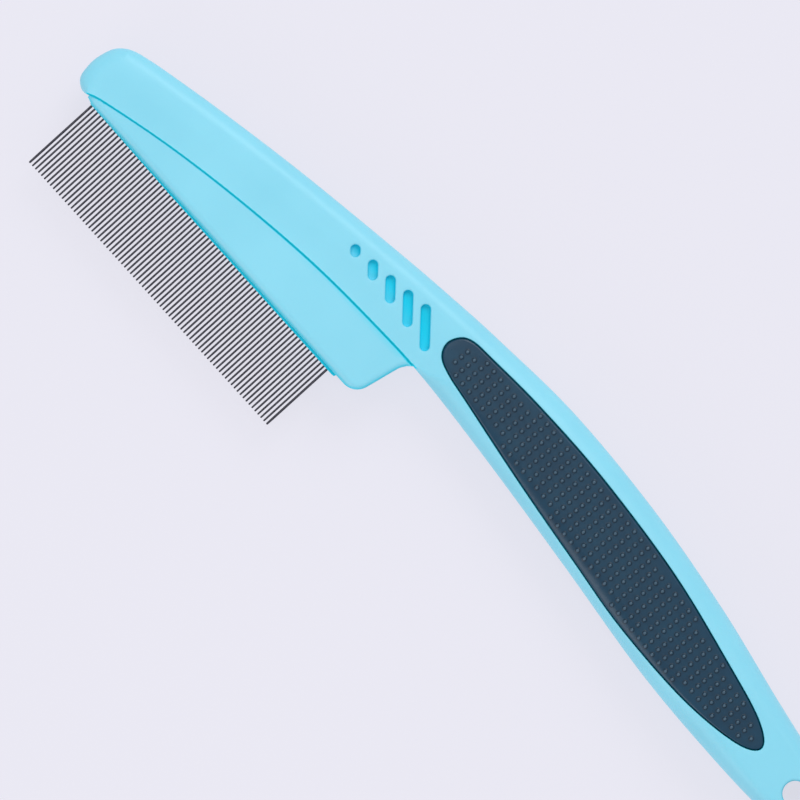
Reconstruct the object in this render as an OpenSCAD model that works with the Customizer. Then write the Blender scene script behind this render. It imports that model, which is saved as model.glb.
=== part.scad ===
// Flea comb: a straight row of fine steel needles in a moulded blade, held
// between the two welded half shells of a curved handle with soft grip pads.
// X runs from the nose to the butt, Y from the needle tips to the spine,
// +Z is the front face. The comb lies on its back, its box centred on X and Y.

/* [Needles] */
// Number of needles in the row, the two guard needles included
needle_count = 81; // [41:1:91]
// Length of the row, first needle to last
row_l = 60; // [58:0.5:60]
// Needle length outside the blade
needle_out = 14.4; // [8:0.1:20]
// Needle length held inside the blade
needle_in = 6; // [4:0.1:6]
// Diameter of a needle
needle_d = 0.36; // [0.3:0.02:0.5]
// Diameter of the two guard needles at the ends of the row
guard_d = 0.44; // [0.4:0.02:0.6]
// Most needles in one needle set
set_size = 10; // [5:1:20]

/* [Blade] */
// Depth of the blade's faces below the shells' faces
blade_step = 0.35; // [0.2:0.05:0.8]
// Rounding of the blade's needle-side edge
blade_r = 1.5; // [0.5:0.1:2]
// Thickness of the bed that the needles stand in
bed_t = 2.6; // [1.6:0.1:3.4]
// Thickness of the tongue that the shells clamp
tongue_t = 3; // [2.4:0.1:3.4]

/* [Handle] */
// Thickness at the tip of the nose
nose_t = 7; // [6.6:0.1:8]
// Full thickness, reached along the handle
handle_t = 11.6; // [10.6:0.1:13]
// Width of the rounding along the spine's free edge
spine_round = 3; // [2:0.1:3.2]
// Width of the rounding along the handle's edges
handle_round = 4.4; // [3:0.1:5]
// Width of the rounding round the butt
butt_round = 2.6; // [2:0.1:3]
// Rounding of the shell's edge along the blade
seam_round = 0.35; // [0.2:0.05:0.6]
// Wall thickness at the handle's sides
wall = 2.4; // [1.8:0.1:3]
// Depth of the hollow in each half shell
hollow_h = 2.3; // [1.5:0.1:2.6]
// Diameter of the hanging hole
hang_d = 4.4; // [3:0.1:5]

/* [Slots] */
// Number of blind slots on each face
slot_count = 5; // [1:1:5]
// Distance from slot to slot
slot_pitch = 4.4; // [3.5:0.1:4.6]
// Width of a slot
slot_w = 1.65; // [1:0.05:2]
// Depth of a slot
slot_deep = 1.1; // [0.4:0.1:1.3]

/* [Grip pads] */
// Clearance around a pad
pad_gap = 0.15; // [0.05:0.05:0.3]
// Height of the pad's seat above the parting plane
pad_seat = 3.3; // [3:0.1:3.6]
// Diameter of a grip nub
nub_d = 0.8; // [0.5:0.05:1]
// Height of a grip nub
nub_h = 0.3; // [0.1:0.05:0.4]
// Distance between nubs along the handle
nub_step = 1.8; // [1.6:0.1:3]
// Distance between nubs across the handle
nub_side = 1.35; // [1.2:0.05:2]

/* [Hidden] */
$fn = 32;
span_steps = 5;      // outline points in each stretch between two curve points
round_steps = 5;     // rings in a rounded edge
land = 0.5;          // straight band on each side of the parting plane
snug = 0.02;         // clearance of parts that plug together
cut = 1;             // how far a cutter runs past the surface that it cuts

// Shell outline: nose, upper edge from nose to butt, butt, lower edge from
// nose to butt. x = 0 is the first needle and y = 0 the blade's needle edge.
nose_tip = [-5.5, 6];
upper_edge = [
    [-4.6, 9.3], [-2.5, 11.3], [0.6, 12.4], [6, 13.7], [17, 16], [33, 18.9], [54, 22],
    [66, 23.5], [76, 24.5], [94, 25.6], [115, 24.6], [135, 22], [152, 18.7], [165, 16.2],
    [172, 13.9]
];
butt_tip = [174.4, 9.7];
lower_edge = [
    [-5.4, 3.6], [-4.9, 1.8], [-3.7, 0.8], [-2.3, 0.6], [1, 1.9], [14, 5.1], [29, 7.8],
    [45, 9.8], [60, 10.6], [72, 10.6], [90, 9.2], [112, 6.9], [134, 4.4], [152, 3.7],
    [165, 4], [171.8, 5.7]
];
edge_n = len(lower_edge);
shell_outline = curve(concat([nose_tip], upper_edge, [butt_tip],
                             [for (i = [edge_n - 1:-1:0]) lower_edge[i]]), span_steps);

// Where along the comb its section changes
full_x = 132;             // the taper from the nose reaches the full thickness
full_soft = 0.1;          // share of the taper over which it levels out
grip_x = [66, 92];        // the edge's rounding grows from the spine's to the handle's
tail_x = [142, 164];      // and shrinks again towards the butt
seam_begin = [-3.4, -1.6];
seam_end = [68.5, 77];
spine_side_y = 11.2;      // the edge that meets the blade lies below this

// Blade outline below the seam, and the tongue's edge inside the spine
seam_x = [-1.6, 69.9];
section_y = -0.15;        // the blade's section starts just outside its needle edge
blade_start = [[-1.5, 0.5], [0, 0.05]];
blade_corner = [63.7, 3.1];
blade_corner_r = 3.12;
blade_side = [[67.3, 5], [67.7, 7], [68.1, 8.8], [68.7, 9.9]];
bed_edge = [[-0.5, 1], [-0.4, 0], [20, -0.35], [61.6, -0.5], [62.1, 1]];
tongue_edge = [[-0.8, 4], [-0.8, 8.8], [20, 12], [60, 16.4], [66, 16.4], [66, 9]];

// Grip pad outline, and the grid of nubs on it
pad_points = [
    [70.35, 17.6], [71.3, 20], [73.4, 21.15], [77.5, 21.5], [89, 22.05], [105, 21.8], [125, 19.9],
    [142, 16.6], [153, 13.9], [157, 11], [153.5, 8.3], [142, 6.6], [126, 6.9],
    [112.6, 8.5], [96, 10.7], [80.4, 13.15], [74.6, 14.1], [71.5, 15.3]
];
pad_outline = curve(pad_points, span_steps);
nub_margin = 1.05;   // bare rim of the pad outside the nubs
nub_start = [73.8, 17.8];
nub_tilt = -3.1;
nub_reach = [50, 6];

slot_first = [48.4, 16.6];
slot_tilt = 136;
slot_l = [2.1, 3.4, 4.7, 6.2, 7.9];

hang_at = [166.5, 10];
tongue_pegs = [[24, 9.9], [42, 12.2], [60, 13.6]];
tongue_peg_r = 1.2;
tongue_peg_up = 0.8;
handle_pegs = [[84, 17.2], [116, 15.4], [148, 11.2]];
handle_peg_r = 1.5;
boss_r = 3;
rib_x = [92, 100, 108, 124, 132, 140];
rib_t = 1.2;
hollow_x = [74, 159];
strip_w = 1.2;
strip_t = 2;

// Derived sizes
nose_x = min([for (p = shell_outline) p.x]);
butt_x = max([for (p = shell_outline) p.x]);
spine_y = max([for (p = shell_outline) p.y]);
pitch = row_l / (needle_count - 1);
inner_count = needle_count - 2;
sets = ceil(inner_count / set_size);
half_high = handle_t / 2 + nub_h;
centre = [(nose_x + butt_x) / 2, (spine_y - needle_out) / 2];

needle_nodes = [for (i = [1:sets]) str("needle_set_", i)];

body_colour = [0.42, 0.83, 0.93];
pad_colour = [0.13, 0.19, 0.25];
steel_colour = [0.62, 0.63, 0.65];

// Closed smooth curve through the points p, with n steps from point to point
function curve(p, n) = [
    for (i = [0:len(p) - 1])
        let (a = p[(i + len(p) - 1) % len(p)], b = p[i],
             c = p[(i + 1) % len(p)], d = p[(i + 2) % len(p)])
        for (k = [0:n - 1])
            let (t = k / n)
            0.5 * (2 * b + (c - a) * t + (2 * a - 5 * b + 4 * c - d) * t * t
                   + (3 * b - a - 3 * c + d) * t * t * t)
];

// Runs smoothly from 0 at a to 1 at b
function ease(x, a, b) = let (t = min(max((x - a) / (b - a), 0), 1)) t * t * (3 - 2 * t);
function mix(a, b, t) = a + (b - a) * t;

// Half of the comb's thickness at x: a straight taper that levels out at full_x
function half_t(x) =
    let (t = (x - nose_tip.x) / (full_x - nose_tip.x),
         over = min(max(t - 1 + full_soft, 0), 2 * full_soft))
    mix(nose_t, handle_t, min(t, 1 + full_soft) - over * over / (4 * full_soft)) / 2;

// Width of the rounding along the free edges at x
function edge_round(x) =
    mix(mix(spine_round, handle_round, ease(x, grip_x[0], grip_x[1])), butt_round,
        ease(x, tail_x[0], tail_x[1]));

// 1 on the edge that meets the blade, 0 on the free edges
function at_seam(p) =
    p.y > spine_side_y ? 0
    : ease(p.x, seam_begin[0], seam_begin[1]) * (1 - ease(p.x, seam_end[0], seam_end[1]));

// Unit normal of a clockwise outline at point i, pointing into the outline
function inward(p, i) =
    let (t = p[(i + 1) % len(p)] - p[(i + len(p) - 1) % len(p)]) [t.y, -t.x] / norm(t);

// Triangles across a ring of n points that starts at point s, from the upper
// edge to the lower edge
function ladder(s, n) = [
    for (i = [0:n / 2 - 1])
        let (a = s + i, b = s + i + 1, c = s + n - i - 1, d = s + (n - i) % n)
        each concat(i == 0 ? [] : [[a, c, d]], i == n / 2 - 1 ? [] : [[a, b, c]])
];

// Moves everything from the needle row's frame to the comb's own frame
module place() translate([-centre.x, -centre.y, half_high]) children();

// Solid half of the shell shape above the parting plane, all edges rounded
module half_body() {
    n = len(shell_outline);
    ring = [
        for (k = [0:round_steps])
            let (turn = 90 * k / round_steps)
            for (i = [0:n - 1])
                let (p = shell_outline[i], seam = at_seam(p), h = half_t(p.x),
                     wide = mix(edge_round(p.x), seam_round, seam),
                     high = mix(h - land, seam_round, seam),
                     q = p + inward(shell_outline, i) * wide * (1 - cos(turn)))
                [q.x, q.y, h - high + high * sin(turn)]
    ];
    base = [for (p = shell_outline) [p.x, p.y, 0]];
    side = [
        for (k = [0:round_steps]) for (i = [0:n - 1])
            let (j = (i + 1) % n)
            each [[k * n + i, (k + 1) * n + j, (k + 1) * n + i],
                  [k * n + i, k * n + j, (k + 1) * n + j]]
    ];
    under = [for (f = ladder(0, n)) [f[2], f[1], f[0]]];
    polyhedron(concat(base, ring), concat(under, side, ladder((round_steps + 1) * n, n)));
}

// Blind slots sunk into the upper face of a half shell
module slots() {
    for (i = [0:slot_count - 1])
        translate([slot_first.x + i * slot_pitch, slot_first.y, 0])
            rotate([0, 0, slot_tilt]) {
                run = slot_l[i] - slot_w;
                floor_z = half_t(slot_first.x + i * slot_pitch) - slot_deep;
                for (end = [-1, 1])
                    translate([end * run / 2, 0, floor_z])
                        cylinder(d = slot_w, h = slot_deep + cut);
                translate([-run / 2, -slot_w / 2, floor_z])
                    cube([run, slot_w, slot_deep + cut]);
            }
}

// Hollow in the handle, left solid round the hanging hole
module hollow() {
    linear_extrude(hollow_h) intersection() {
        offset(delta = -wall) polygon(shell_outline);
        translate([hollow_x[0], 0]) square([hollow_x[1] - hollow_x[0], spine_y]);
    }
}

// Cross ribs that stiffen a half shell
module ribs() {
    for (x = rib_x) translate([x - rib_t / 2, 0, 0]) cube([rib_t, spine_y, hollow_h]);
}

module tongue_outline(grow) {
    offset(delta = grow) polygon(tongue_edge);
}

// Half shell without its pegs or sockets: hollow, tongue pocket, pad seat, slots
module half_shell() {
    difference() {
        half_body();
        difference() {
            hollow();
            ribs();
            for (p = handle_pegs) translate(p) cylinder(r = boss_r, h = hollow_h);
        }
        translate([0, 0, -cut]) linear_extrude(tongue_t / 2 + snug + cut) tongue_outline(snug);
        translate([0, 0, pad_seat]) linear_extrude(handle_t) polygon(pad_outline);
        slots();
        translate([hang_at.x, hang_at.y, -cut]) cylinder(d = hang_d, h = handle_t);
    }
}

module front_shell() {
    color(body_colour) place() difference() {
        half_shell();
        for (p = handle_pegs)
            translate([p.x, p.y, -cut]) cylinder(r = handle_peg_r + snug, h = hollow_h + cut);
        for (p = tongue_pegs)
            translate([p.x, p.y, 0])
                cylinder(r = tongue_peg_r + snug, h = tongue_t / 2 + tongue_peg_up + snug);
    }
}

module rear_shell() {
    color(body_colour) place() {
        mirror([0, 0, 1]) half_shell();
        for (p = handle_pegs)
            translate([p.x, p.y, -hollow_h]) cylinder(r = handle_peg_r, h = 2 * hollow_h - snug);
        for (p = tongue_pegs)
            translate([p.x, p.y, -tongue_t / 2 - cut])
                cylinder(r = tongue_peg_r, h = tongue_t + tongue_peg_up + cut);
    }
}

// Plan of the blade: seam, needle edge, rounded corner and handle-side end
module blade_outline() {
    seam = [for (p = shell_outline)
            if (p.y < spine_side_y && p.x > seam_x[0] && p.x < seam_x[1]) p];
    corner = [for (a = [-90:12.5:-15]) blade_corner + blade_corner_r * [cos(a), sin(a)]];
    polygon(concat(seam, blade_start, corner, blade_side));
}

// Everything under the blade's front face, which follows the taper of the shells,
// with a rounded needle edge
module under_blade_face() {
    taper = atan((handle_t - nose_t) / 2 / (full_x - nose_tip.x));
    translate([nose_tip.x, section_y, nose_t / 2 - blade_step])
        rotate([0, -taper, 0]) rotate([90, 0, 90]) translate([0, 0, -handle_t])
            linear_extrude(full_x) {
                translate([blade_r, -blade_r]) circle(blade_r);
                translate([0, -handle_t]) square([spine_y, handle_t - blade_r]);
                translate([blade_r, -handle_t]) square([spine_y, handle_t]);
            }
}

// Blade with both faces, its seam edge against the shells
module blade() {
    for (side = [0, 1]) mirror([0, 0, side]) intersection() {
        linear_extrude(handle_t / 2) blade_outline();
        under_blade_face();
    }
}

// Repeats its children at every needle from the first to the last
module along_row(first, last) {
    for (i = [first:last]) translate([i * pitch, 0, 0]) children();
}

module needle_carrier() {
    color(body_colour) place() difference() {
        union() {
            blade();
            translate([0, 0, -bed_t / 2]) linear_extrude(bed_t) polygon(bed_edge);
            translate([0, 0, -tongue_t / 2]) linear_extrude(tongue_t) tongue_outline(0);
        }
        along_row(1, needle_count - 2) needle_hole(needle_d);
        along_row(0, 0) needle_hole(guard_d);
        along_row(needle_count - 1, needle_count - 1) needle_hole(guard_d);
        translate([-strip_w, needle_in, -strip_t / 2])
            cube([row_l + 2 * strip_w, strip_w, strip_t + cut]);
        for (p = tongue_pegs)
            translate([p.x, p.y, -tongue_t]) cylinder(r = tongue_peg_r + snug, h = 2 * tongue_t);
    }
}

module needle_hole(d) {
    rotate([-90, 0, 0]) translate([0, 0, -cut]) cylinder(d = d + snug, h = needle_in + cut);
}

// Steel strip that closes the needle holes from behind
module backing_strip() {
    color(steel_colour) place()
        translate([-strip_w + snug, needle_in + snug, -strip_t / 2 + snug])
            cube([row_l + 2 * (strip_w - snug), strip_w - 2 * snug, strip_t - snug]);
}

// One needle: a round wire with a domed tip
module needle(d) {
    translate([0, needle_in, 0]) rotate([90, 0, 0]) {
        cylinder(d = d, h = needle_in + needle_out - d / 2, $fn = 16);
        translate([0, 0, needle_in + needle_out - d / 2]) sphere(d = d, $fn = 16);
    }
}

module guard_needles() {
    color(steel_colour) place() for (x = [0, row_l]) translate([x, 0, 0]) needle(guard_d);
}

module needle_set(s) {
    color(steel_colour) place()
        along_row((s - 1) * set_size + 1, min(s * set_size, inner_count)) needle(needle_d);
}

// Distance from point p to the line from a to b
function line_gap(p, a, b) =
    let (t = min(max((p - a) * (b - a) / ((b - a) * (b - a)), 0), 1)) norm(p - a - t * (b - a));
function outline_gap(p, outline) =
    min([for (i = [0:len(outline) - 1]) line_gap(p, outline[i], outline[(i + 1) % len(outline)])]);

// True if the point is inside the outline: an odd number of edges lies beyond it
function inside(p, outline) =
    len([for (i = [0:len(outline) - 1])
        let (a = outline[i], b = outline[(i + 1) % len(outline)])
        if ((a.y > p.y) != (b.y > p.y) && p.x < a.x + (p.y - a.y) * (b.x - a.x) / (b.y - a.y)) 1
    ]) % 2 == 1;

// Height of the handle's rounded face over the parting plane at point p
function face_z(p) =
    let (h = half_t(p.x), part = min(outline_gap(p, shell_outline) / edge_round(p.x), 1))
    h - (h - land) * (1 - sqrt(1 - (1 - part) * (1 - part)));

// Centres of the nubs: a straight grid that fills the pad up to its bare rim
nub_points = [
    for (i = [0:nub_reach.x], j = [-nub_reach.y:nub_reach.y])
        let (u = i * nub_step, v = j * nub_side,
             p = nub_start + [u * cos(nub_tilt) - v * sin(nub_tilt),
                              u * sin(nub_tilt) + v * cos(nub_tilt)])
        if (inside(p, pad_outline) && outline_gap(p, pad_outline) > nub_margin) p
];

// Grip pad on the front: fills its seat and carries the rows of nubs
module pad() {
    intersection() {
        half_body();
        translate([0, 0, pad_seat]) linear_extrude(handle_t)
            offset(delta = -pad_gap) polygon(pad_outline);
    }
    for (p = nub_points)
        translate([p.x, p.y, pad_seat + cut / 2])
            cylinder(d = nub_d, h = face_z(p) + nub_h - pad_seat - cut / 2, $fn = 16);
}

module front_grip_pad() {
    color(pad_colour) place() pad();
}

module rear_grip_pad() {
    color(pad_colour) place() mirror([0, 0, 1]) pad();
}

front_shell();
rear_shell();
needle_carrier();
backing_strip();
guard_needles();
front_grip_pad();
rear_grip_pad();
for (s = [1:sets]) needle_set(s);
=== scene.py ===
"""Flea comb: fine surfaces, materials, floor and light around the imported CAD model.

Shapes are worked out in millimetres in the needle row's own frame, as in the CAD
source: x runs along the row from the first needle, y from the blade's needle edge
to the spine, and z up from the parting plane. metres() takes such points into the
shared frame.
"""
import math

import bpy
import numpy as np
from mathutils import Matrix, Vector
from mathutils.geometry import delaunay_2d_cdt


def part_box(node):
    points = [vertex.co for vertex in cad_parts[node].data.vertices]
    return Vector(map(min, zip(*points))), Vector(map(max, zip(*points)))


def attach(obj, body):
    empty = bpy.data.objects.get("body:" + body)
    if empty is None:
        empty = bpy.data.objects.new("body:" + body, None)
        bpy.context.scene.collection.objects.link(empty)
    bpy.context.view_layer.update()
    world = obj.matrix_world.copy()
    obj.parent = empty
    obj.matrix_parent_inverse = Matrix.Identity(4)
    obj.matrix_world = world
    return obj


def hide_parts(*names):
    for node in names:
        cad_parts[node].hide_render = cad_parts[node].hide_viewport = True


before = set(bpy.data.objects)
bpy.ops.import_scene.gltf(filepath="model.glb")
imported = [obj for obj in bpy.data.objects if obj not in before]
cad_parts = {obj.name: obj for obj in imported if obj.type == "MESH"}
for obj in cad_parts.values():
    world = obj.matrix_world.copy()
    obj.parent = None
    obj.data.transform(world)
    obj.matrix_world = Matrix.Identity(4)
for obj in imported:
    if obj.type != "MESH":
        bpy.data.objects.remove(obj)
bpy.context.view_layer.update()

MM = 0.001

# ---- Sizes of the comb, in millimetres ------------------------------------

NEEDLE_OUT = 14.4
NEEDLE_IN = 6.0
ROW_L = 60.0
NEEDLE_COUNT = 81
NEEDLE_R = 0.18
GUARD_R = 0.22
SET_SIZE = 10

BLADE_STEP = 0.35       # depth of the blade's faces below the shells' faces
BLADE_R = 1.5           # rounding of its needle edge
BLADE_END_R = 0.9       # rounding of its end at the handle
BLADE_END_X = (62, 67)  # where the one grows into the other
BED_T = 2.6             # bed under the blade's edge that the needles stand in
BED_R = 0.25
SEAM_OVERLAP = 0.3      # how far the blade runs in under the shells' edge
GROOVE_W = 0.24         # fine groove along the seam
GROOVE_DEEP = 0.06

# Recess values, which the materials turn into painted shade (and on the pads also a painted
# highlight): 0 is the plain plastic, 1 the bottom of a groove
# Painted shade along the blade's rounded free edges, fading onto its face, and a little on its
# wall
EDGE_RECESS = 0.5         # of the blade's free edges
EDGE_BAND = (0.1, 0.6)    # it fades out on the face between these
WALL_RECESS = 0.12        # of the middle of the blade's wall
WALL_FADE = 0.5           # reached this far below the edge's rounding
# Painted shade line along the step from the shells down to the blade, wider towards the notch
SEAM_BAND = (0.16, 0.5)   # the seam's value fades out on the shell between these
SEAM_WIDEN = (10, 62)     # where along the row the seam's deep colour grows wider
SEAM_WIDTHS = (0.8, 1.3)  # from this to this, in groove widths
SEAM_FADE = (0.3, 1.4)    # the groove's value fades out on the blade between these shares
SEAM_ENDS = (0.85, 1)     # the shell's edge takes it on as at_seam() goes between these
# Painted shadow on the bed, which lies low in the shade of the blade's edge
BED_RECESS = 0.8
# Painted shade in the slots: darkest at the upper end, where the wall is in shade, less at the
# lower end, where light falls in
SLOT_RECESS = 0.8         # of a slot's upper end
SLOT_LIFT = (0.5, 0.15)   # how much less it is at the lower end of the first and last slot
# On the pads: 0 paints a highlight on the nubs' tops, PLAIN is the plain rubber, higher values
# paint shade round the nubs' feet
PLAIN = 0.3               # of the pad between the nubs
NUB_RINGS = (             # share of the nub's radius, and the value there
    (0, 0), (0.3, 0), (0.55, 0), (0.76, 0.3), (0.9, 0.6), (1.0, 0.8), (1.12, 0.75), (1.4, 0.4),
)

NOSE_T = 7.0
HANDLE_T = 11.6
SPINE_ROUND = 3.0
HANDLE_ROUND = 4.4
BUTT_ROUND = 2.6
SEAM_ROUND = 0.35
LAND = 0.5            # straight band on each side of the parting plane
CROWN = 0.22          # how far the face falls away towards its edges
CROWN_REACH = 7.0
PARTING_NICK = 0.12   # chamfer that draws the parting line

SLOT_W = 1.65
SLOT_DEEP = 1.1
SLOT_PITCH = 4.4
SLOT_FIRST = (48.4, 16.6)
SLOT_TILT = 136.0
SLOT_LENGTHS = (2.1, 3.4, 4.7, 6.2, 7.9)
SLOT_LIP = 0.32
SLOT_FLOOR_R = 0.3

HANG_AT = (166.5, 10.0)
HANG_R = 2.2
HANG_LIP = 0.5

PAD_SEAT = 3.3
PAD_GAP = 0.15
PAD_LIP = 0.22
PAD_FLOOR_R = 0.05
PAD_EDGE = 0.4
NUB_R = 0.38
NUB_H = 0.3
NUB_STEP = 1.8
NUB_SIDE = 1.35
NUB_MARGIN = 1.05
NUB_START = (73.8, 17.8)
NUB_TILT = -3.1
NUB_ROUND = 0.62      # power that rounds a nub's flank

NOSE_TIP = (-5.5, 6)
UPPER_EDGE = [
    (-4.6, 9.3), (-2.5, 11.3), (0.6, 12.4), (6, 13.7), (17, 16), (33, 18.9), (54, 22),
    (66, 23.5), (76, 24.5), (94, 25.6), (115, 24.6), (135, 22), (152, 18.7), (165, 16.2),
    (172, 13.9),
]
BUTT_TIP = (174.4, 9.7)
LOWER_EDGE = [
    (-5.4, 3.6), (-4.9, 1.8), (-3.7, 0.8), (-2.3, 0.6), (1, 1.9), (14, 5.1), (29, 7.8),
    (45, 9.8), (60, 10.6), (72, 10.6), (90, 9.2), (112, 6.9), (134, 4.4), (152, 3.7),
    (165, 4), (171.8, 5.7),
]
FULL_X = 132.0                       # the taper from the nose reaches the full thickness
FULL_SOFT = 0.1                      # share of the taper over which it levels out
GRIP_X = (66, 92)                    # the edge's rounding grows from the spine's to the handle's
TAIL_X = (142, 164)                  # and shrinks again towards the butt
NOSE_SOFT = (1, 7)                   # the blurring of the nose's face ends between these
BLUR_MOST = 1.6                      # widest reach of that blurring
BLUR_SHARE = 0.6                     # its reach as a share of the distance to the outline
BLUR_RINGS = ((0.45, 6), (0.9, 12))  # rings that it averages: share of the reach, and points
SEAM_BEGIN = (-3.4, -1.6)
SEAM_END = (68.5, 77)
SPINE_SIDE_Y = 11.2                  # the edge that meets the blade lies below this
SEAM_X = (-1.6, 69.9)
BLADE_START = [(-1.5, 0.5), (0, 0.05)]
BLADE_CORNER = (63.7, 3.1)
BLADE_CORNER_R = 3.12
BLADE_SIDE = [(67.3, 5), (67.7, 7), (68.1, 8.8), (68.7, 9.9)]
BED_EDGE = [(-0.5, 1), (-0.4, 0), (20, -0.35), (61.6, -0.5), (62.1, 1)]
PAD_POINTS = [
    (70.35, 17.6), (71.3, 20), (73.4, 21.15), (77.5, 21.5), (89, 22.05), (105, 21.8),
    (125, 19.9), (142, 16.6), (153, 13.9), (157, 11), (153.5, 8.3), (142, 6.6), (126, 6.9),
    (112.6, 8.5), (96, 10.7), (80.4, 13.15), (74.6, 14.1), (71.5, 15.3),
]

# ---- Frame ------------------------------------------------------------------

guard_low, guard_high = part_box("guard_needles")
ROW_START = np.array([
    guard_low.x + GUARD_R * MM,
    guard_low.y + NEEDLE_OUT * MM,
    (guard_low.z + guard_high.z) / 2,
])


def metres(points):
    """Points in millimetres in the needle row's frame, as points in the shared frame."""
    return np.asarray(points, float) * MM + ROW_START


# ---- Camera -----------------------------------------------------------------

VIEW_AT = (72.2, 5.2, 1.5)     # what the camera is centred on
VIEW_WIDTH = 135.8             # width of the picture at that point
VIEW_ROLL = 47.8               # angle from the comb's length to the picture's right edge
CAMERA_FAR = 1200.0
SENSOR = 36.0


def make_camera():
    data = bpy.data.cameras.new("camera")
    data.sensor_width = SENSOR
    data.lens = SENSOR * CAMERA_FAR / VIEW_WIDTH
    data.clip_start = 0.01
    data.clip_end = 20
    camera = bpy.data.objects.new("camera", data)
    bpy.context.scene.collection.objects.link(camera)
    spot = metres((VIEW_AT[0], VIEW_AT[1], VIEW_AT[2] + CAMERA_FAR))
    turn = Matrix.Rotation(math.radians(VIEW_ROLL), 4, "Z")
    camera.matrix_world = Matrix.Translation(spot) @ turn
    bpy.context.scene.camera = camera


make_camera()


# ---- Curves and heights -------------------------------------------------------

CURVE_FINE = 40      # steps between two points of a curve, before it is evened out
CHUNK = 2000         # points handled at once, which keeps the arrays small
ROW_SHARE = 0.866    # distance between the rows of a staggered grid, in steps
MERGE = 1e-7         # points of a face nearer than this are one


def closed_curve(points, step):
    """Smooth closed curve through the points, with a point about every step."""
    b = np.array(points, float)[:, None, :]
    a, c, d = np.roll(b, 1, 0), np.roll(b, -1, 0), np.roll(b, -2, 0)
    t = (np.arange(CURVE_FINE) / CURVE_FINE)[None, :, None]
    fine = 0.5 * (2 * b + (c - a) * t + (2 * a - 5 * b + 4 * c - d) * t**2
                  + (3 * b - a - 3 * c + d) * t**3)
    return even_loop(fine.reshape(-1, 2), step)


def even_loop(points, step):
    """The same closed line with its points evenly spaced."""
    ring = np.vstack([points, points[:1]])
    run = np.concatenate([[0], np.cumsum(np.linalg.norm(np.diff(ring, axis=0), axis=1))])
    at = np.linspace(0, run[-1], max(8, round(run[-1] / step)), endpoint=False)
    return np.column_stack([np.interp(at, run, ring[:, k]) for k in (0, 1)])


def inward(loop):
    """Unit normals of a clockwise loop, pointing into it."""
    t = np.roll(loop, -1, 0) - np.roll(loop, 1, 0)
    n = np.column_stack([t[:, 1], -t[:, 0]])
    return n / np.linalg.norm(n, axis=1)[:, None]


def ease(x, a, b):
    """0 below a, 1 above b, and a smooth rise between them."""
    t = np.clip((np.asarray(x, float) - a) / (b - a), 0, 1)
    return t * t * (3 - 2 * t)


def mix(a, b, t):
    """From a to b as t goes from 0 to 1."""
    return a + (b - a) * t


def half_t(x):
    """Half of the comb's thickness: a straight taper that levels out at FULL_X."""
    t = (np.asarray(x, float) - NOSE_TIP[0]) / (FULL_X - NOSE_TIP[0])
    over = np.clip(t - 1 + FULL_SOFT, 0, 2 * FULL_SOFT)
    return mix(NOSE_T, HANDLE_T, np.minimum(t, 1 + FULL_SOFT) - over**2 / (4 * FULL_SOFT)) / 2


def edge_round(x):
    """Width of the rounding along the free edges."""
    return mix(mix(SPINE_ROUND, HANDLE_ROUND, ease(x, *GRIP_X)), BUTT_ROUND, ease(x, *TAIL_X))


def at_seam(p):
    """1 on the edge that meets the blade, 0 on the free edges."""
    share = ease(p[:, 0], *SEAM_BEGIN) * (1 - ease(p[:, 0], *SEAM_END))
    return np.where(p[:, 1] > SPINE_SIDE_Y, 0, share)


def nearest(points, loop):
    """For each point its distance to a closed loop, and where on the loop that is."""
    a, b = loop, np.roll(loop, -1, 0)
    ab = b - a
    best = np.full(len(points), 1e9)
    index = np.zeros(len(points), int)
    part = np.zeros(len(points))
    for start in range(0, len(points), CHUNK):
        p = points[start:start + CHUNK, None, :]
        t = np.clip(((p - a) * ab).sum(2) / (ab * ab).sum(1), 0, 1)
        gap = np.linalg.norm(p - a - t[:, :, None] * ab, axis=2)
        i = gap.argmin(1)
        rows = np.arange(len(i))
        best[start:start + CHUNK] = gap[rows, i]
        index[start:start + CHUNK] = i
        part[start:start + CHUNK] = t[rows, i]
    return best, index, part


def inside(points, loop):
    """Which points lie inside a closed loop."""
    a, b = loop, np.roll(loop, -1, 0)
    result = np.zeros(len(points), bool)
    for start in range(0, len(points), CHUNK):
        p = points[start:start + CHUNK, None, :]
        spans = (a[:, 1] > p[:, :, 1]) != (b[:, 1] > p[:, :, 1])
        rise = np.where(b[:, 1] == a[:, 1], 1e-12, b[:, 1] - a[:, 1])
        hit = spans & (p[:, :, 0] < a[:, 0] + (p[:, :, 1] - a[:, 1]) * (b[:, 0] - a[:, 0]) / rise)
        result[start:start + CHUNK] = hit.sum(1) % 2 == 1
    return result


OUTLINE_STEP = 0.6
PAD_STEP = 0.5
outline = closed_curve([NOSE_TIP, *UPPER_EDGE, BUTT_TIP, *LOWER_EDGE[::-1]], OUTLINE_STEP)
outline_in = inward(outline)
outline_seam = at_seam(outline)
outline_wide = mix(edge_round(outline[:, 0]), SEAM_ROUND, outline_seam)
outline_high = mix(half_t(outline[:, 0]) - LAND, SEAM_ROUND, outline_seam)
pad_seat_loop = closed_curve(PAD_POINTS, PAD_STEP)


def face_z(points):
    """Height of the shell's outer face over points of its plan."""
    points = np.asarray(points, float)
    gap, i, t = nearest(points, outline)
    j = (i + 1) % len(outline)
    wide = mix(outline_wide[i], outline_wide[j], t)
    high = mix(outline_high[i], outline_high[j], t)
    part = np.clip(gap / wide, 0, 1)
    rounding = high * (1 - np.sqrt(np.maximum(0, 1 - (1 - part) ** 2)))
    crown = CROWN * (1 - ease(gap, 0, CROWN_REACH)) * part
    return half_t(points[:, 0]) - rounding - crown


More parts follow.
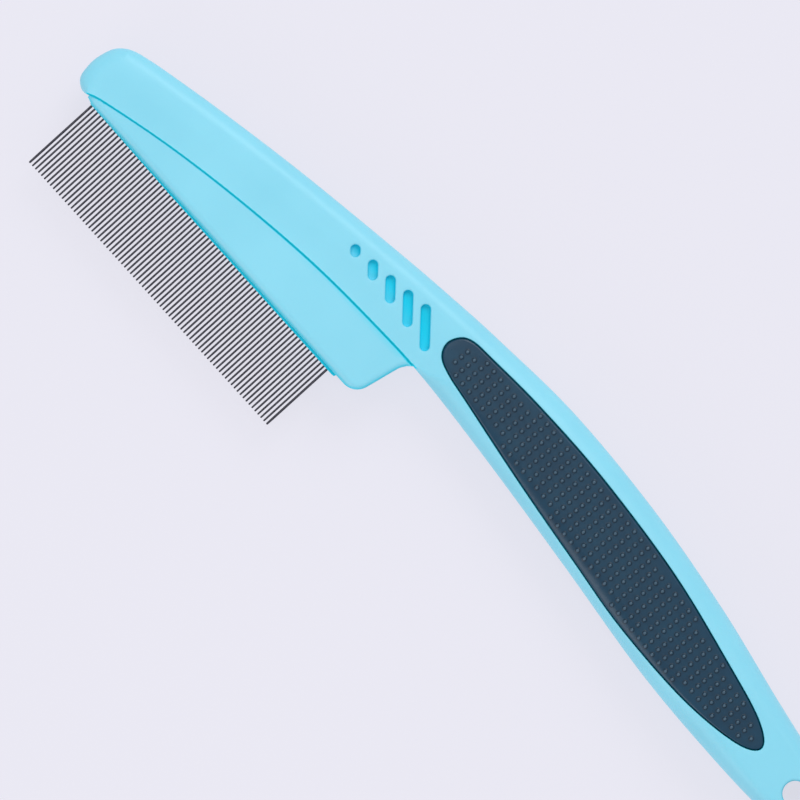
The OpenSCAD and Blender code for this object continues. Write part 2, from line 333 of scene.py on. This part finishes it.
def soft_z(points):
    """face_z, blurred near the nose, where its rounded edges would meet in a crease."""
    z = face_z(points)
    near = points[:, 0] < NOSE_SOFT[1]
    spots = points[near]
    reach = np.minimum(BLUR_MOST, BLUR_SHARE * nearest(spots, outline)[0])
    reach = reach * (1 - ease(spots[:, 0], *NOSE_SOFT))
    around = [(r * math.cos(a), r * math.sin(a)) for r, n in BLUR_RINGS
              for a in np.linspace(0, 2 * math.pi, n, endpoint=False)]
    z[near] = np.mean([face_z(spots + reach[:, None] * d) for d in np.array(around)], axis=0)
    return z


# ---- Mesh building -------------------------------------------------------------

class Shape:
    """Vertices and faces of one piece, with a 0 to 1 recess value for each vertex, which the
    materials turn into painted shade and, on the pads, a painted highlight.
    """

    def __init__(self):
        self.points = []
        self.recess = []
        self.faces = []

    def loop(self, plan, z, recess=0.0):
        """Adds a loop of points over a plan, with one height and recess value or one for each."""
        plan = np.asarray(plan, float)
        z = np.broadcast_to(np.asarray(z, float), len(plan))
        first = len(self.points)
        self.points += [(x, y, h) for (x, y), h in zip(plan.tolist(), z.tolist())]
        self.recess += np.broadcast_to(np.asarray(recess, float), len(plan)).tolist()
        return list(range(first, len(self.points)))

    def bridge(self, a, b):
        """Quads from clockwise loop a up or inwards to loop b, facing out. Both have n points."""
        n = len(a)
        self.faces += [(a[i], b[i], b[(i + 1) % n], a[(i + 1) % n]) for i in range(n)]

    def fill(self, border, holes=(), extra=(), height=None, up=True, recess=0.0):
        """Triangles over the region inside border and outside the holes, through extra points.

        recess is one value for the extra points, or one for each.
        """
        known = [i for ring in (border, *holes) for i in ring]
        plan = [self.points[i][:2] for i in known]
        extra = np.asarray(extra, float).reshape(-1, 2)
        edges, at = [], 0
        for ring in (border, *holes):
            n = len(ring)
            edges += [(at + k, at + (k + 1) % n) for k in range(n)]
            at += n
        if len(extra):
            first = len(self.points)
            z = height(extra)
            self.points += [(x, y, h) for (x, y), h in zip(extra.tolist(), z.tolist())]
            self.recess += np.broadcast_to(np.asarray(recess, float), len(extra)).tolist()
            known += list(range(first, len(self.points)))
            plan += extra.tolist()
        only_inside = 1
        made = delaunay_2d_cdt([Vector(p) for p in plan], edges, [], only_inside, MERGE)
        source = [known[o[0]] for o in made[3]]
        triangles = np.array(made[2])
        centres = np.array([self.points[i][:2] for i in source])[triangles].mean(1)
        keep = np.ones(len(triangles), bool)
        for ring in holes:
            keep &= ~inside(centres, np.array([self.points[i][:2] for i in ring]))
        for t in triangles[keep].tolist():
            face = [source[k] for k in t]
            self.faces.append(tuple(face if up else face[::-1]))

    def mirrored(self):
        """The same shape turned over to the back of the comb."""
        other = Shape()
        other.points = [(x, y, -z) for x, y, z in self.points]
        other.recess = list(self.recess)
        other.faces = [f[::-1] for f in self.faces]
        return other

    def piece(self, name, material, sharp=40):
        """Makes the Blender object and shades it smooth up to an angle between faces."""
        mesh = bpy.data.meshes.new(name)
        mesh.from_pydata(metres(self.points).tolist(), [], self.faces)
        mesh.attributes.new("recess", "FLOAT", "POINT").data.foreach_set("value", self.recess)
        mesh.validate()
        obj = bpy.data.objects.new(name, mesh)
        bpy.context.scene.collection.objects.link(obj)
        mesh.materials.append(material)
        mesh.shade_smooth()
        mesh.set_sharp_from_angle(angle=math.radians(sharp))
        return obj


def turns(first, last, count):
    """Angles in radians from first to last degrees."""
    return np.radians(np.linspace(first, last, count))


def grid(step, region, clear, margin):
    """Points of a staggered grid inside a region, away from its edge and from clear loops."""
    low, high = region.min(0), region.max(0)
    rows = []
    for k, y in enumerate(np.arange(low[1], high[1], step * ROW_SHARE)):
        x = np.arange(low[0] + (k % 2) * step / 2, high[0], step)
        rows.append(np.column_stack([x, np.full(len(x), y)]))
    points = np.vstack(rows)
    keep = inside(points, region) & (nearest(points, region)[0] > margin)
    for loop in clear:
        keep &= ~inside(points, loop) & (nearest(points, loop)[0] > margin)
    return points[keep]


# ---- Shells ----------------------------------------------------------------------

def slot_loop(index, grow):
    """Rounded outline of a slot, grown by a distance, clockwise."""
    r = SLOT_W / 2 + grow
    half = (SLOT_LENGTHS[index] - SLOT_W) / 2
    tilt = math.radians(SLOT_TILT)
    along = np.array([math.cos(tilt), math.sin(tilt)])
    centre = np.array([SLOT_FIRST[0] + index * SLOT_PITCH, SLOT_FIRST[1]])
    ends = []
    for side, a in ((1, turns(90, -90, 15)), (-1, turns(-90, -270, 15))):
        arc = np.column_stack([np.cos(a + tilt), np.sin(a + tilt)]) * r
        ends.append(centre + side * half * along + arc)
    return np.vstack(ends)


def ring_loop(centre, r, count=48):
    """Round outline, clockwise."""
    a = -np.linspace(0, 2 * math.pi, count, endpoint=False)
    return np.array(centre) + r * np.column_stack([np.cos(a), np.sin(a)])


# A rim's recess value is painted shade, growing as the rim turns down into its hole
LIP_FADE = (0.7, 1.6)    # angles in radians between which a rim takes on its recess value


def lip(shape, grown, radius, recess=1.0):
    """Rounded rim of a hole: loops from the face down into it.

    grown(g) is the hole's outline grown by g.
    """
    loops = []
    for a in turns(0, 90, 6):
        plan = grown(radius * (1 - math.sin(a)))
        z = face_z(plan) - radius * (1 - math.cos(a))
        loops.append(shape.loop(plan, z, recess * ease(a, *LIP_FADE)))
    for a, b in zip(loops, loops[1:]):
        shape.bridge(a, b)
    return loops


def pocket(shape, plan_at, top, floor_z, floor_round, recess=1.0):
    """Wall and rounded floor of a blind pocket below the loop top."""
    last = top
    for a in turns(0, 90, 5):
        plan = plan_at(-floor_round * (1 - math.cos(a)))
        # The pocket's wall and floor carry the same painted shade value
        loop = shape.loop(plan, floor_z + floor_round * (1 - math.sin(a)), recess)
        shape.bridge(last, loop)
        last = loop
    shape.fill(last)


STEEP_END = 38           # degrees of the edge's rounding built as loops
SOFT_START = 46          # and from which it is built as points of the face
EDGE_CLEAR = 0.04        # least distance of those points from the last loop
HOLE_CLEAR = 0.25        # and from the holes
FACE_STEP = 1.0          # grid of the shell's face
FACE_MARGIN = 0.45       # its least distance from the loops and holes
FACE_CLEAR = 0.7         # and from the outline
# The seam's band is a line of painted shade along the shell's edge
TINTED_FROM = 0.9        # at_seam() value from which the seam's band is drawn


def shell_half():
    """The front half shell: rounded edges, slots, pad seat and hanging hole."""
    shape = Shape()
    steep = turns(0, STEEP_END, 7)
    wall = [(PARTING_NICK, 0.0), (0.0, PARTING_NICK)]
    loops = [shape.loop(outline + outline_in * inset, z) for inset, z in wall]
    for a in steep:
        plan = outline + outline_in * (outline_wide * (1 - np.cos(a)))[:, None]
        # Recess value on the steep loops at the seam: painted shade on the shell's edge where it
        # steps down to the blade
        loops.append(shape.loop(plan, face_z(plan), ease(outline_seam, *SEAM_ENDS)))
    for a, b in zip(loops, loops[1:]):
        shape.bridge(a, b)
    border = loops[-1]

    seat_in = inward(pad_seat_loop)
    hang = lambda grow: ring_loop(HANG_AT, HANG_R + grow)
    seat = lambda grow: pad_seat_loop - seat_in * grow
    holes = []
    for k in range(len(SLOT_LENGTHS)):
        slot = lambda grow, k=k: slot_loop(k, grow)
        # Painted shade in the slot: darkest at its upper end, whose wall is in shade, lighter
        # towards the lower end, where light falls in
        rows = slot(0)[:, 1]
        upper_end = (rows - rows.min()) / np.ptp(rows)
        lift = mix(*SLOT_LIFT, k / (len(SLOT_LENGTHS) - 1))
        tint = SLOT_RECESS - lift * (1 - upper_end)
        rim = lip(shape, slot, SLOT_LIP, tint)
        floor_z = half_t(SLOT_FIRST[0] + k * SLOT_PITCH) - SLOT_DEEP
        pocket(shape, slot, rim[-1], floor_z, SLOT_FLOOR_R, tint)
        holes.append(rim[0])
    rim = lip(shape, seat, PAD_LIP)
    pocket(shape, seat, rim[-1], PAD_SEAT, PAD_FLOOR_R)
    holes.append(rim[0])
    rim = lip(shape, hang, HANG_LIP)
    # The hanging hole's wall is given full painted shade
    hang_base = shape.loop(hang(0), 0.0, 1.0)
    shape.bridge(rim[-1], hang_base)
    holes.append(rim[0])

    hole_plans = [np.array([shape.points[i][:2] for i in ring]) for ring in holes]
    soft = [outline + outline_in * (outline_wide * (1 - math.cos(a)))[:, None]
            for a in turns(SOFT_START, 90, 5)]
    rings = np.vstack([loop[::2] if k % 2 else loop[1::2] for k, loop in enumerate(soft)])
    border_plan = np.array([shape.points[i][:2] for i in border])
    keep = inside(rings, border_plan) & (nearest(rings, border_plan)[0] > EDGE_CLEAR)
    keep &= outline_near_is_wide(rings)
    for plan in hole_plans:
        keep &= ~inside(rings, plan) & (nearest(rings, plan)[0] > HOLE_CLEAR)
    mesh_points = grid(FACE_STEP, border_plan, hole_plans, FACE_MARGIN)
    apart = nearest(mesh_points, outline)[0] > FACE_CLEAR
    # A narrow band beside the seam, given recess 1: a painted shade line
    tinted = outline_seam > TINTED_FROM
    bands = [(outline + outline_in * gap)[tinted] for gap in SEAM_BAND]
    extra = np.vstack([rings[keep], mesh_points[apart], *bands])
    tint = np.zeros(len(extra))
    tint[-2 * len(bands[0]):-len(bands[0])] = 1
    shape.fill(border, holes, extra, soft_z, recess=tint)
    shape.fill(loops[0], [hang_base], up=False)
    return shape


WIDE_ROUND = 1.0         # a rounding wider than this is a free edge's
SEAM_CLEAR = 0.2         # least distance of the face's points from the seam's edge


def outline_near_is_wide(points):
    """True where the nearest outline point has a wide rounding, or is far enough away."""
    gap, i, _ = nearest(points, outline)
    return (outline_wide[i] > WIDE_ROUND) | (gap > SEAM_CLEAR)


# ---- Blade -------------------------------------------------------------------------

CROWDED = 0.97           # moved points nearer their line than this share crowd at a corner
BLADE_LINE_STEP = 0.3
BLADE_GRID = 1.2
BLADE_MARGIN = 0.3
FREE_CLEAR = 0.2         # least distance of the grid from the edge's rounding
GROOVE_CLEAR = 0.3       # and from the groove
GROOVE_FLAT = 0.4        # half of the groove's flat bottom, in groove widths
GROOVE_RINGS = (0.03, GROOVE_W * GROOVE_FLAT, GROOVE_W * 0.7, GROOVE_W, GROOVE_W * 1.4)


def open_line(points, step):
    """The line through the points, with its points evenly spaced."""
    points = np.array(points, float)
    run = np.concatenate([[0], np.cumsum(np.linalg.norm(np.diff(points, axis=0), axis=1))])
    at = np.linspace(0, run[-1], round(run[-1] / step) + 1)
    return np.column_stack([np.interp(at, run, points[:, k]) for k in (0, 1)])


def line_gap(points, line):
    """Distance from each point to an open line."""
    a, ab = line[:-1], np.diff(line, axis=0)
    p = np.asarray(points, float)[:, None, :]
    t = np.clip(((p - a) * ab).sum(2) / (ab * ab).sum(1), 0, 1)
    return np.linalg.norm(p - a - t[:, :, None] * ab, axis=2).min(1)


def beside(line, gap):
    """The open line moved to its right by gap, without the points that crowd at a corner."""
    t = np.gradient(line, axis=0)
    n = np.column_stack([t[:, 1], -t[:, 0]]) / np.linalg.norm(t, axis=1)[:, None]
    moved = line + n * gap
    return moved[line_gap(moved, line) > gap * CROWDED]


def blade_solid():
    """The blade: rounded free edges, a fine groove along the shells, and the needle bed."""
    shape = Shape()
    corner = [(BLADE_CORNER[0] + BLADE_CORNER_R * math.cos(a),
               BLADE_CORNER[1] + BLADE_CORNER_R * math.sin(a)) for a in turns(-15, -90, 18)]
    free = open_line([*BLADE_SIDE[::-1], *corner, *BLADE_START[::-1]], BLADE_LINE_STEP)
    on_seam = ((outline[:, 1] < SPINE_SIDE_Y) & (outline[:, 0] > SEAM_X[0])
               & (outline[:, 0] < SEAM_X[1]))
    rows = np.flatnonzero(on_seam)[::-1]
    seam = outline[rows]
    hidden = seam + outline_in[rows] * SEAM_OVERLAP

    def top(points):
        r = mix(BLADE_R, BLADE_END_R, ease(points[:, 0], *BLADE_END_X))
        part = np.clip(line_gap(points, free) / r, 0, 1)
        groove = np.where(inside(points, outline), 1.0,
                          1 - ease(line_gap(points, seam), GROOVE_W * GROOVE_FLAT, GROOVE_W))
        rounding = r * (1 - np.sqrt(1 - (1 - part) ** 2))
        return half_t(points[:, 0]) - BLADE_STEP - rounding - GROOVE_DEEP * groove * part

    plan = np.vstack([hidden, free])
    z = top(plan)
    rim = z - WALL_FADE
    wall = [shape.loop(plan, height) for height in (-z, -rim, rim, z)]
    for a, b in zip(wall, wall[1:]):
        shape.bridge(a, b)
    lower, upper = wall[0], wall[-1]
    rings = [beside(free, BLADE_R * (1 - math.cos(a))) for a in turns(12, 90, 8)]
    rings += [beside(seam, gap) for gap in GROOVE_RINGS]
    rings = np.vstack(rings)
    rings = rings[inside(rings, plan)]
    spread_out = grid(BLADE_GRID, plan, [], BLADE_MARGIN)
    clear = ((line_gap(spread_out, free) > BLADE_R + FREE_CLEAR)
             & (line_gap(spread_out, seam) > GROOVE_W + GROOVE_CLEAR))
    extra = np.vstack([rings, spread_out[clear]])
    shape.fill(upper, extra=extra, height=top)
    shape.fill(lower, extra=extra, height=lambda points: -top(points), up=False)
    # Recess values on the blade: painted shade along the seam groove, widening towards the notch,
    # painted shade on the rounded free edges, and a little on the wall
    plans = np.array(shape.points)[:, :2]
    wide = GROOVE_W * mix(*SEAM_WIDTHS, ease(plans[:, 0], *SEAM_WIDEN))
    groove = 1 - ease(line_gap(plans, seam) / wide, *SEAM_FADE)
    edge = EDGE_RECESS * (1 - ease(line_gap(plans, free), *EDGE_BAND))
    recess = np.maximum(groove, edge)
    recess[wall[1] + wall[2]] = WALL_RECESS
    shape.recess = recess.tolist()
    add_bed(shape)
    return shape


BED_STEP = 0.5


def add_bed(shape):
    """The narrow bed under the blade's edge that the needles stand in."""
    plan = even_loop(np.array(BED_EDGE[::-1], float), BED_STEP)
    normal = inward(plan)
    profile = [(BED_R * (1 - math.cos(a)), BED_T / 2 - BED_R * (1 - math.sin(a)))
               for a in turns(0, 90, 5)]
    profile = [(inset, -z) for inset, z in profile[::-1]] + profile
    # BED_RECESS paints shadow over the whole bed, which lies low in the shade of the blade's edge
    loops = [shape.loop(plan + normal * inset, z, BED_RECESS) for inset, z in profile]
    for a, b in zip(loops, loops[1:]):
        shape.bridge(a, b)
    shape.fill(loops[-1])
    shape.fill(loops[0], up=False)


# ---- Grip pads ------------------------------------------------------------------------

NUB_COLUMNS = range(51)  # more than the pad holds; the ones outside it are dropped
NUB_ROWS = range(-6, 7)
NUB_SIDES = 12
PAD_GRID = 0.9
PAD_MARGIN = 0.3
NUB_CLEAR = 1.7          # least distance of the grid from a nub, in nub radii


def nub_centres(region):
    """A straight grid of nubs that fills the pad up to its bare rim."""
    tilt = math.radians(NUB_TILT)
    along = np.array([math.cos(tilt), math.sin(tilt)])
    across = np.array([-math.sin(tilt), math.cos(tilt)])
    points = np.array([np.array(NUB_START) + i * NUB_STEP * along + j * NUB_SIDE * across
                       for i in NUB_COLUMNS for j in NUB_ROWS])
    keep = inside(points, region) & (nearest(points, region)[0] > NUB_MARGIN)
    return points[keep]


def pad_half():
    """The front grip pad: rounded edge, face that follows the handle, rows of nubs."""
    shape = Shape()
    normal = inward(pad_seat_loop)
    edge = lambda inset: pad_seat_loop + normal * (PAD_GAP + inset)
    loops = [shape.loop(edge(0), PAD_SEAT, PLAIN)]
    for a in turns(0, 90, 7):
        plan = edge(PAD_EDGE * (1 - math.cos(a)))
        loops.append(shape.loop(plan, face_z(plan) - PAD_EDGE * (1 - math.sin(a)), PLAIN))
    for a, b in zip(loops, loops[1:]):
        shape.bridge(a, b)
    centres = nub_centres(pad_seat_loop)
    extra, rise, tint = [], [], []
    for k, (reach, value) in enumerate(NUB_RINGS):
        r = reach * NUB_R
        count = 1 if r == 0 else NUB_SIDES
        a = np.arange(count) * 2 * math.pi / count + k * math.pi / count
        ring = r * np.column_stack([np.cos(a), np.sin(a)])
        spots = (centres[:, None, :] + ring[None, :, :]).reshape(-1, 2)
        extra.append(spots)
        share = max(0.0, 1 - (r / NUB_R) ** 2)
        rise.append(np.full(len(spots), NUB_H * share ** NUB_ROUND))
        # Tint from NUB_RINGS: 0 paints a highlight on the nub's top, higher values paint shade
        # round its foot
        tint.append(np.full(len(spots), float(value)))
    border_plan = np.array([shape.points[i][:2] for i in loops[-1]])
    base = grid(PAD_GRID, border_plan, [], PAD_MARGIN)
    distance = np.min(np.linalg.norm(base[:, None, :] - centres[None, :, :], axis=2), axis=1)
    base = base[distance > NUB_R * NUB_CLEAR]
    points = np.vstack(extra + [base])
    lift = np.concatenate(rise + [np.zeros(len(base))])
    tint = np.concatenate(tint + [np.full(len(base), PLAIN)])
    shape.fill(loops[-1], extra=points, height=lambda p: face_z(p) + lift, recess=tint)
    shape.fill(loops[0], up=False)
    return shape


# ---- Needles ---------------------------------------------------------------------------

TAPER_L = 1.6            # length at the tip over which the wire is drawn in
TAPER_RUN = 1.35         # its loops end this far along
TAPER_STEPS = 4
TAPER = 0.03             # share of the radius lost at each of them
ROOT_Y = 0.5             # loop just inside the blade


def add_needle(shape, x, r, sides=16):
    """A round wire with a blunt domed tip, from inside the blade to the tip."""
    a = -np.linspace(0, 2 * math.pi, sides, endpoint=False)
    taper_y = -NEEDLE_OUT + TAPER_L
    stations = [(NEEDLE_IN, r), (ROOT_Y, r), (taper_y, r)]
    stations += [(taper_y - TAPER_RUN * k / TAPER_STEPS, r * (1 - TAPER * k))
                 for k in range(1, TAPER_STEPS + 1)]
    tip_r = r * (1 - TAPER * TAPER_STEPS)
    stations += [(-NEEDLE_OUT + tip_r * (1 - math.sin(t)), tip_r * math.cos(t))
                 for t in turns(10, 75, 5)]
    loops = []
    for y, radius in stations:
        first = len(shape.points)
        shape.points += [(x + radius * math.cos(t), y, radius * math.sin(t)) for t in a]
        shape.recess += [0.0] * sides
        loops.append(list(range(first, first + sides)))
    for p, q in zip(loops, loops[1:]):
        shape.bridge(p, q)
    shape.faces.append(tuple(loops[0]))
    shape.faces.append(tuple(loops[-1][::-1]))


# ---- Materials ---------------------------------------------------------------------------

# The deep cyan and the teal below are painted shade, set by the recess value
TEAL_SHADE_FROM = 0.7               # recess value from which the plastic's deep cyan turns to teal
# Painted highlight on each nub's top and painted shade round its foot
NUB_TOP_HIGHLIGHT = (0.045, 0.09, 0.13)         # colour of a nub's top
NUB_FOOT_SHADE = (0.001, 0.006, 0.012)   # and of the ring round its foot


def new_material(name):
    """An empty material with a Principled shader, and that shader."""
    material = bpy.data.materials.new(name)
    material.use_nodes = True
    nodes = material.node_tree.nodes
    nodes.clear()
    shader = nodes.new("ShaderNodeBsdfPrincipled")
    output = nodes.new("ShaderNodeOutputMaterial")
    material.node_tree.links.new(shader.outputs[0], output.inputs[0])
    return material, shader


def add_node(material, kind, **values):
    """Adds a node and sets its sockets by name."""
    made = material.node_tree.nodes.new(kind)
    for key, value in values.items():
        made.inputs[key.replace("_", " ")].default_value = value
    return made


def link(material, source, target):
    material.node_tree.links.new(source, target)


def noise(material, scale, detail, roughness=0.5):
    """Noise over the object's own space. scale is in features a metre."""
    place = material.node_tree.nodes.new("ShaderNodeTexCoord")
    made = add_node(material, "ShaderNodeTexNoise",
                    Scale=scale, Detail=detail, Roughness=roughness)
    link(material, place.outputs["Object"], made.inputs["Vector"])
    return made.outputs["Fac"]


def ramp(material, source, stops):
    """Colour ramp from (position, colour) pairs."""
    made = material.node_tree.nodes.new("ShaderNodeValToRGB")
    elements = made.color_ramp.elements
    while len(elements) < len(stops):
        elements.new(0.5)
    for element, (position, colour) in zip(elements, stops):
        element.position = position
        element.color = (*colour, 1)
    link(material, source, made.inputs[0])
    return made.outputs[0]


def spread(material, source, low, high):
    """Maps a 0 to 1 value to low to high."""
    made = add_node(material, "ShaderNodeMapRange")
    made.inputs["To Min"].default_value = low
    made.inputs["To Max"].default_value = high
    link(material, source, made.inputs["Value"])
    return made.outputs["Result"]


def bump(material, shader, source, depth_mm, strength):
    """Fine relief on the surface, from a 0 to 1 height."""
    made = add_node(material, "ShaderNodeBump", Strength=strength, Distance=depth_mm * MM)
    link(material, source, made.inputs["Height"])
    link(material, made.outputs["Normal"], shader.inputs["Normal"])


def blend_colour(material, share, a, b):
    """From colour link a to b, which is a link or a plain colour."""
    made = material.node_tree.nodes.new("ShaderNodeMix")
    made.data_type = "RGBA"
    link(material, share, made.inputs[0])
    link(material, a, made.inputs[6])
    if isinstance(b, tuple):
        made.inputs[7].default_value = (*b, 1)
    else:
        link(material, b, made.inputs[7])
    return made.outputs[2]


def recess_value(material):
    """The mesh's 0 to 1 recess value."""
    made = material.node_tree.nodes.new("ShaderNodeAttribute")
    made.attribute_name = "recess"
    return made.outputs["Fac"]


def body_plastic():
    """Light cyan moulded plastic, satin, with painted shade set by the recess value: a deeper cyan
    in its recesses, teal in its grooves, and less reflection there.
    """
    material, shader = new_material("cyan_plastic")
    broad = ramp(material, noise(material, 60, 2),
                 [(0.3, (0.21, 0.62, 0.76)), (0.7, (0.23, 0.65, 0.79))])
    # Painted shade: the recess value moves the colour to a deeper cyan and then to a darker teal
    recess = recess_value(material)
    share = add_node(material, "ShaderNodeMapRange", From_Max=TEAL_SHADE_FROM)
    link(material, recess, share.inputs["Value"])
    deep = ramp(material, recess, [(TEAL_SHADE_FROM, (0.0, 0.62, 0.80)), (1.0, (0.0, 0.46, 0.59))])
    colour = blend_colour(material, share.outputs["Result"], broad, deep)
    link(material, colour, shader.inputs["Base Color"])
    grain = spread(material, noise(material, 900, 4), 0.42, 0.5)
    link(material, grain, shader.inputs["Roughness"])
    bump(material, shader, noise(material, 2600, 3), 0.006, 0.6)
    # Painted shade on the reflection too: less specular where the recess value is high
    link(material, spread(material, recess, 0.6, 0.1), shader.inputs["Specular IOR Level"])
    shader.inputs["Subsurface Weight"].default_value = 0.08
    shader.inputs["Subsurface Radius"].default_value = (0.3, 0.8, 1.0)
    shader.inputs["Subsurface Scale"].default_value = 0.0008
    return material


def grip_rubber():
    """Blue-black soft rubber with a fine grain, with painted shade round its nubs and a painted
    highlight on their tops.
    """
    material, shader = new_material("charcoal_rubber")
    tone = ramp(material, noise(material, 300, 4),
                [(0.3, (0.0, 0.031, 0.066)), (0.7, (0.001, 0.041, 0.081))])
    # Painted highlight towards the nub tops, then painted shade towards their feet
    shade = ramp(material, recess_value(material), [(0.0, (1, 1, 1)), (PLAIN, (0, 0, 0))])
    lit = blend_colour(material, shade, tone, NUB_TOP_HIGHLIGHT)
    hollow = add_node(material, "ShaderNodeMapRange", From_Min=PLAIN)
    link(material, recess_value(material), hollow.inputs["Value"])
    colour = blend_colour(material, hollow.outputs["Result"], lit, NUB_FOOT_SHADE)
    link(material, colour, shader.inputs["Base Color"])
    grain = spread(material, noise(material, 3000, 4), 0.24, 0.36)
    link(material, grain, shader.inputs["Roughness"])
    bump(material, shader, noise(material, 5200, 5, 0.65), 0.02, 0.7)
    shader.inputs["Specular IOR Level"].default_value = 0.4
    return material


def needle_steel():
    """Drawn stainless wire: fine streaks along the needle, on a base colour far darker than bare
    steel, a painted dark reflection of dim surroundings.
    """
    material, shader = new_material("needle_steel")
    place = material.node_tree.nodes.new("ShaderNodeTexCoord")
    stretch = material.node_tree.nodes.new("ShaderNodeMapping")
    stretch.inputs["Scale"].default_value = (9000, 500, 9000)
    streak = add_node(material, "ShaderNodeTexNoise", Scale=1.0, Detail=3.0)
    link(material, place.outputs["Object"], stretch.inputs["Vector"])
    link(material, stretch.outputs["Vector"], streak.inputs["Vector"])
    # Very dark base: painted dark reflection, with the real drawn streaks varying it
    tone = ramp(material, streak.outputs["Fac"],
                [(0.3, (0.05, 0.049, 0.062)), (0.7, (0.085, 0.083, 0.1))])
    link(material, tone, shader.inputs["Base Color"])
    link(material, spread(material, streak.outputs["Fac"], 0.2, 0.34), shader.inputs["Roughness"])
    bump(material, shader, streak.outputs["Fac"], 0.003, 0.5)
    shader.inputs["Metallic"].default_value = 1.0
    return material


def strip_steel():
    """Plain cold-rolled strip, hidden behind the needles."""
    material, shader = new_material("strip_steel")
    tone = ramp(material, noise(material, 700, 4),
                [(0.3, (0.42, 0.43, 0.44)), (0.7, (0.5, 0.51, 0.52))])
    link(material, tone, shader.inputs["Base Color"])
    grain = spread(material, noise(material, 2000, 3), 0.3, 0.45)
    link(material, grain, shader.inputs["Roughness"])
    shader.inputs["Metallic"].default_value = 1.0
    return material


def floor_paper():
    """Plain pale backdrop with a little light of its own, which keeps shadows faint."""
    material, shader = new_material("pale_backdrop")
    tone = ramp(material, noise(material, 3, 2),
                [(0.3, (0.11, 0.107, 0.12)), (0.7, (0.12, 0.117, 0.13))])
    link(material, tone, shader.inputs["Base Color"])
    shader.inputs["Roughness"].default_value = 0.9
    shader.inputs["Emission Color"].default_value = (0.92, 0.91, 1.0, 1)
    shader.inputs["Emission Strength"].default_value = 0.74
    bump(material, shader, noise(material, 1500, 4), 0.02, 0.3)
    return material


# ---- Build -----------------------------------------------------------------------------

plastic = body_plastic()
rubber = grip_rubber()
steel = needle_steel()


def build_piece(shape, name, material, nodes, sharp=40):
    """Makes a piece that rides on the comb's body in place of the named CAD nodes."""
    piece = shape.piece(name, material, sharp)
    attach(piece, "root")
    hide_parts(*nodes)
    return piece


half = shell_half()
build_piece(half, "front_shell_skin", plastic, ["front_shell"])
build_piece(half.mirrored(), "rear_shell_skin", plastic, ["rear_shell"])
build_piece(blade_solid(), "blade_skin", plastic, ["needle_carrier"])

pad = pad_half()
build_piece(pad, "front_pad_skin", rubber, ["front_grip_pad"], sharp=70)
build_piece(pad.mirrored(), "rear_pad_skin", rubber, ["rear_grip_pad"], sharp=70)

pitch = ROW_L / (NEEDLE_COUNT - 1)
guards = Shape()
for x in (0, ROW_L):
    add_needle(guards, x, GUARD_R)
build_piece(guards, "guard_needle_wires", steel, ["guard_needles"])
inner = list(range(1, NEEDLE_COUNT - 1))
for number, first in enumerate(range(0, len(inner), SET_SIZE), 1):
    wires = Shape()
    for k in inner[first:first + SET_SIZE]:
        add_needle(wires, k * pitch, NEEDLE_R)
    build_piece(wires, f"needle_wires_{number}", steel, [f"needle_set_{number}"])

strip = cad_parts["backing_strip"]
strip.data.materials.clear()
strip.data.materials.append(strip_steel())


# ---- Floor and light --------------------------------------------------------------------

FLOOR_SIDE = 6.0


def make_floor():
    mesh = bpy.data.meshes.new("floor")
    s = FLOOR_SIDE / 2
    mesh.from_pydata([(-s, -s, 0), (s, -s, 0), (s, s, 0), (-s, s, 0)], [], [(0, 1, 2, 3)])
    mesh.materials.append(floor_paper())
    floor = bpy.data.objects.new("floor", mesh)
    bpy.context.scene.collection.objects.link(floor)


def make_world(colour, strength):
    world = bpy.data.worlds.new("studio")
    world.use_nodes = True
    back = world.node_tree.nodes["Background"]
    back.inputs["Color"].default_value = (*colour, 1)
    back.inputs["Strength"].default_value = strength
    bpy.context.scene.world = world


def picture_direction(right, up, out):
    """Unit vector from picture axes: to the right, upwards and towards the camera."""
    a = math.radians(VIEW_ROLL)
    v = Vector((
        right * math.cos(a) - up * math.sin(a),
        right * math.sin(a) + up * math.cos(a),
        out,
    ))
    return v.normalized()


def make_area(name, direction, distance, size, power):
    """A round white lamp that shines on the comb from a direction."""
    data = bpy.data.lights.new(name, "AREA")
    data.shape = "DISK"
    data.size = size
    data.energy = power
    light = bpy.data.objects.new(name, data)
    bpy.context.scene.collection.objects.link(light)
    light.location = direction * distance
    light.rotation_mode = "QUATERNION"
    light.rotation_quaternion = direction.to_track_quat("Z", "Y")


make_floor()
make_world((0.94, 0.95, 1.0), 0.74)
make_area("key_light", picture_direction(0.45, 0.95, 1.0), 1.2, 0.7, 5.6)
make_area("front_fill", picture_direction(-0.2, 0.25, 1.0), 1.6, 0.7, 2.0)
make_area("low_fill", picture_direction(-0.9, -0.9, 0.55), 1.2, 0.8, 3.0)

bpy.context.scene.view_settings.view_transform = "Standard"
